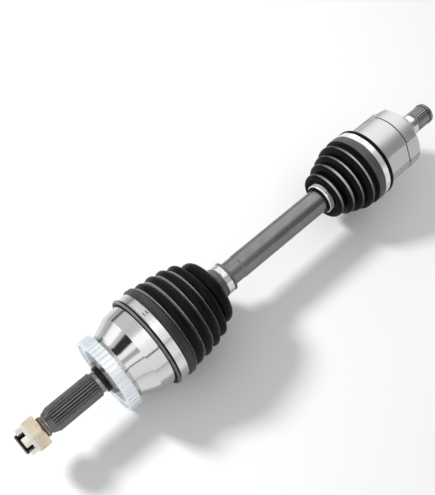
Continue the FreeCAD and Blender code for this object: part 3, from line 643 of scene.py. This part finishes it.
def inner_boot(rubber, satin, crest_highlight):
    """Two lengths that join in a valley."""
    cuff = arc((300.4, 15.5), 0.8, 180, 90, 4) + [(301.2, 16.3), (306.8, 16.3), (307.2, 16.6)]
    cup = [
        (308.6, 17.6), (309.2, 19.5), (307.8, 21.5), (305.6, 22.8), (304.6, 24.2), (305.1, 25.8),
        (306.6, 26.8), (308.4, 27.2), (311.0, 27.1), (314.5, 25.6),
    ]
    cup_inside = [
        (311.5, 24.6), (307.6, 24.9), (306.8, 24.2), (308.0, 22.6), (310.6, 20.4), (310.4, 17.4),
        (308.2, SHAFT_BIG + 0.6),
    ]
    small = folds(INNER_FIRST_VALLEY, INNER_ROWS[:2])
    inside = lining(small, INNER_WALL) + cup_inside + [(307.2, SHAFT_BIG), (299.6, SHAFT_BIG)]
    one = revolved("inner_boot_small_end", closed(cuff + cup + small, inside), rubber)

    large = folds(INNER_ROWS[1][2:], INNER_ROWS[2:])
    shoulder = arc((355.0, 37.4), 4.5, 170, 90, 6) + [(361.6, 41.9)]
    shoulder += arc((361.8, 41.1), 0.8, 90, 0, 3) + [(363.4, 39.9), (370.6, 39.9)]
    rim = arc((372.0, 40.0), 1.6, 180, 90, 4) + arc((373.8, 40.4), 1.2, 90, 0, 4)
    inside = [(375.0, INNER_SEAT), (361.4, INNER_SEAT), (358.0, 39.2), (352.0, 38.0)]
    inside += lining(large, INNER_WALL)
    two = revolved("inner_boot_large_end", closed(large + shoulder + rim, inside), rubber)

    # Painted highlight on each crest.
    crests = [INNER_FIRST_CREST] + [row[0] for row in INNER_ROWS]
    tops = [(x - CREST_BEFORE, x + CREST_AFTER) for x in crests]
    recolour(one, tops, crest_highlight)
    recolour(two, tops, crest_highlight)
    # Painted sheen on the shoulder.
    recolour(two, [INNER_SHOULDER_ZONE], satin)

    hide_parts("inner_boot")
    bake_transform(one)
    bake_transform(two)


# ---------------------------------------------------------------- clamps

BAND_THICKNESS = 0.9
BAND_EDGE = 0.35
# Edges of the layers over the band: at most this, and this share of the layer's thickness.
LAYER_EDGE = 0.3
LAYER_EDGE_SHARE = 0.45
LAYER_STEPS = 16
# What lies over the band: name, inset from each side as a share of its width, height over the
# seat, thickness, and start and end angle as shares of the lock's span.
LAYERS = (
    ("tail", 0.07, 0.9, 0.7, -0.45, 1.0),
    ("lock", 0.14, 1.6, 0.75, 0.08, 0.40),
    ("hook", 0.18, 1.6, 0.9, 0.50, 0.72),
)
# Thin dark strips painted as the shade in the hook's windows: where each starts and how wide it
# is, as shares of the width, then height, thickness and angles as above.
WINDOW_STARTS = (0.30, 0.62)
WINDOW_WIDTH = 0.12
WINDOW_LIFT = 2.45
WINDOW_THICKNESS = 0.08
WINDOW_FROM = 0.54
WINDOW_TO = 0.68


def strip(name, start, end, inner_r, thick, from_deg, to_deg, material, edge=BAND_EDGE, steps=TURN_STEPS):
    """A bent strip with softened edges, between two angles in degrees from +Y towards +Z."""
    outer_r = inner_r + thick
    section = [
        (start, inner_r), (start, outer_r - edge), (start + edge, outer_r),
        (end - edge, outer_r), (end, outer_r - edge), (end, inner_r),
    ]
    count = len(section)
    whole = abs(to_deg - from_deg) >= 360
    rows = steps if whole else steps + 1
    vertices = []
    for row in range(rows):
        angle = math.radians(from_deg + (to_deg - from_deg) * row / steps)
        cosine, sine = math.cos(angle), math.sin(angle)
        vertices += [(x * MM, r * cosine * MM, r * sine * MM) for x, r in section]
    faces = skin_faces(count, rows, whole)
    if not whole:
        faces.append(tuple(reversed(range(count))))
        faces.append(tuple((rows - 1) * count + i for i in range(count)))
    return new_piece(name, vertices, faces, material, STEEL_SMOOTH)


def strap_clamp(node, body, inner_r, lock_from, lock_to, steel, dark):
    """A stepless band: the strip once round, the overlapping tail, and the raised lock on it."""
    low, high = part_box(node)
    start, end = low.x / MM, high.x / MM
    width = end - start
    span = lock_to - lock_from
    band = strip(node + "_band", start, end, inner_r, BAND_THICKNESS, 0, 360, steel)
    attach(band, body)
    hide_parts(node)
    parts = [
        (label, start + width * inset, end - width * inset, lift, thick, first, last, steel)
        for label, inset, lift, thick, first, last in LAYERS
    ]
    # Painted shade: thin dark strips stand for the hook's windows.
    for share in WINDOW_STARTS:
        left, right = start + width * share, start + width * (share + WINDOW_WIDTH)
        label = "window_shade_%d" % (share * 100)
        parts.append((label, left, right, WINDOW_LIFT, WINDOW_THICKNESS, WINDOW_FROM, WINDOW_TO, dark))
    for label, left, right, lift, thick, first, last, metal in parts:
        edge = min(LAYER_EDGE, thick * LAYER_EDGE_SHARE)
        from_deg, to_deg = lock_from + span * first, lock_from + span * last
        piece = strip("%s_%s" % (node, label), left, right, inner_r + lift, thick, from_deg, to_deg, metal,
                      edge, LAYER_STEPS)
        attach(piece, body)


# ---------------------------------------------------------------- stage and light

# The gap under the part and half the floor's width, in metres, and how light the paper is.
FLOOR_GAP = 0.0008
FLOOR_HALF = 6.0
PAPER = (0.87, 0.89)
PAPER_SPECULAR = 0.2
PAPER_ROUGHNESS = 0.6
# The floor as metal shows it: how bright at each share of the way from the shaft to where the
# fade ends, on its +Y side. The fade is given in shares per metre.
FLOOR_FADE = 2.0
FLOOR_IN_METAL = ((0.0, 0.74), (0.35, 0.66), (0.6, 0.34), (1.0, 0.30))


def floor():
    """White paper; in shiny metal it shows greyer, as a floor does between dark side screens."""
    z = cad_low.z - FLOOR_GAP
    corners = [(-1, -1), (1, -1), (1, 1), (-1, 1)]
    vertices = [(x * FLOOR_HALF, y * FLOOR_HALF, z) for x, y in corners]
    mesh = bpy.data.meshes.new("floor")
    mesh.from_pydata(vertices, [], [(0, 1, 2, 3)])
    plane = bpy.data.objects.new("floor", mesh)
    bpy.context.scene.collection.objects.link(plane)
    material, n, shader, place = new_material("floor_paper", 0.0, PAPER_SPECULAR)
    paper = n.spread(n.noise(place, 3.0), *PAPER)
    across = n.add("ShaderNodeSeparateXYZ")
    n.link(place, across.inputs[0])
    side = n.math("MULTIPLY_ADD", across.outputs[1], FLOOR_FADE, True)
    reflected = n.ramp(side, FLOOR_IN_METAL)
    is_glossy = n.add("ShaderNodeLightPath").outputs["Is Glossy Ray"]
    finish_material(n, shader, n.mix(is_glossy, paper, reflected), PAPER_ROUGHNESS)
    mesh.materials.append(material)


# What shiny metal sees above the floor: how bright the studio is at each share of the half turn
# from +Y over the top to -Y. One row for directions back past the wheel end, one for directions
# straight across the shaft, and one for directions on past the gearbox end.
BACK_STRIPS = (
    (0.00, 0.90), (0.06, 1.20), (0.20, 1.35), (0.24, 0.72), (0.295, 0.62), (0.31, 0.04), (0.46, 0.03),
    (0.48, 1.10), (0.56, 1.15), (0.585, 0.50), (0.65, 0.48), (0.67, 1.05), (0.752, 1.05), (0.757, 0.0),
    (0.773, 0.0), (0.778, 0.92), (1.00, 0.85),
)
ACROSS_STRIPS = (
    (0.00, 0.12), (0.035, 0.14), (0.05, 0.66), (0.18, 0.72), (0.34, 0.66), (0.42, 0.78), (0.47, 1.30),
    (0.57, 1.30), (0.64, 1.08), (0.752, 0.98), (0.757, 0.0), (0.773, 0.0), (0.778, 0.92), (1.00, 0.85),
)
ONWARD_STRIPS = (
    (0.00, 0.80), (0.08, 1.45), (0.34, 1.45), (0.46, 1.30), (0.53, 1.10), (0.58, 0.22), (0.62, 0.17),
    (0.84, 0.17), (0.93, 0.85), (1.00, 0.95),
)


# How fast one row of strips gives way to the next as the direction turns along the shaft, and
# the shifts that put the two changes where they belong.
ROW_CHANGE = 8.0
ACROSS_SHIFT = 3.2
ONWARD_SHIFT = -2.0
SOFT_LIGHT = (0.62, 0.63, 0.64, 1)


def studio():
    """An even grey all round for soft light; shiny metal sees strips of light and dark instead."""
    world = bpy.data.worlds.new("studio")
    world.use_nodes = True
    bpy.context.scene.world = world
    n = Nodes(world.node_tree)
    direction = n.add("ShaderNodeTexCoord").outputs["Generated"]
    split = n.add("ShaderNodeSeparateXYZ")
    n.link(direction, split.inputs[0])
    along = split.outputs[0]
    angle = n.math("ARCTAN2", split.outputs[2], split.outputs[1])
    share = n.math("DIVIDE", angle, math.pi)
    is_across = n.math("MULTIPLY_ADD", along, ROW_CHANGE, True, plus=ACROSS_SHIFT)
    is_onward = n.math("MULTIPLY_ADD", along, ROW_CHANGE, True, plus=ONWARD_SHIFT)
    strips = n.mix(is_across, n.ramp(share, BACK_STRIPS), n.ramp(share, ACROSS_STRIPS))
    strips = n.mix(is_onward, strips, n.ramp(share, ONWARD_STRIPS))
    glossy = n.add("ShaderNodeLightPath").outputs["Is Glossy Ray"]
    background = n.add("ShaderNodeBackground")
    n.link(n.mix(glossy, SOFT_LIGHT, strips), background.inputs["Color"])
    background.inputs["Strength"].default_value = 1.0
    output = n.add("ShaderNodeOutputWorld")
    n.link(background.outputs[0], output.inputs["Surface"])


# The key light's place from the middle of the part, its size in metres and its power in watts.
KEY_PLACE = Vector((-0.65, 1.04, 1.04))
KEY_SIZE = 0.3
KEY_POWER = 24.0


def key_light():
    """A small round light for the shadow; it makes no highlight in metal."""
    centre = (cad_low + cad_high) / 2
    data = bpy.data.lights.new("key", "AREA")
    data.shape = "DISK"
    data.size = KEY_SIZE
    data.energy = KEY_POWER
    light = bpy.data.objects.new("key", data)
    light.location = centre + KEY_PLACE
    light.rotation_mode = "QUATERNION"
    light.rotation_quaternion = (centre - light.location).to_track_quat("-Z", "Y")
    light.visible_glossy = False
    bpy.context.scene.collection.objects.link(light)


# ---------------------------------------------------------------- assembly

make_camera()
floor()
studio()
key_light()

materials = {slot: make() for slot, make in MAKERS.items()}
for entry in frame["record"]["subparts"]:
    for place in frame["nodes"][entry["node"]].material_slots:
        place.material = materials[entry["material_slot"]]

# Each rubber painted greyer as sheen and highlights: lowest and highest grey, and roughness.
dull = pale_rubber("boot_rubber_faint_sheen", 0.018, 0.030, 0.36)
satin = pale_rubber("boot_rubber_satin_sheen", 0.055, 0.085, 0.30)
bright_sheen = pale_rubber("boot_rubber_bright_sheen", 0.10, 0.16, 0.22)
groove_highlight = pale_rubber("boot_rubber_groove_highlight", 0.22, 0.34, 0.40)
outer_boot(materials["boot_rubber"], dull, bright_sheen, groove_highlight)
crest_highlight = pale_rubber("boot_rubber_crest_highlight", 0.34, 0.46, 0.22, on_top=True)
inner_boot(materials["boot_rubber"], satin, crest_highlight)

# Each clamp: the body it rides on, the radius of its seat and the angles of its lock in degrees.
steel, window_shade_steel = materials["clamp_steel"], materials["spring_steel"]
strap_clamp("outer_boot_large_clamp", "wheel_joint", 49.5, 64, 98, steel, window_shade_steel)
strap_clamp("outer_boot_small_clamp", "shaft", 15.85, 84, 130, steel, window_shade_steel)
strap_clamp("inner_boot_large_clamp", "gearbox_joint", 39.95, 56, 92, steel, window_shade_steel)
strap_clamp("inner_boot_small_clamp", "shaft", 16.35, 84, 130, steel, window_shade_steel)

bpy.context.scene.view_settings.view_transform = "Standard"
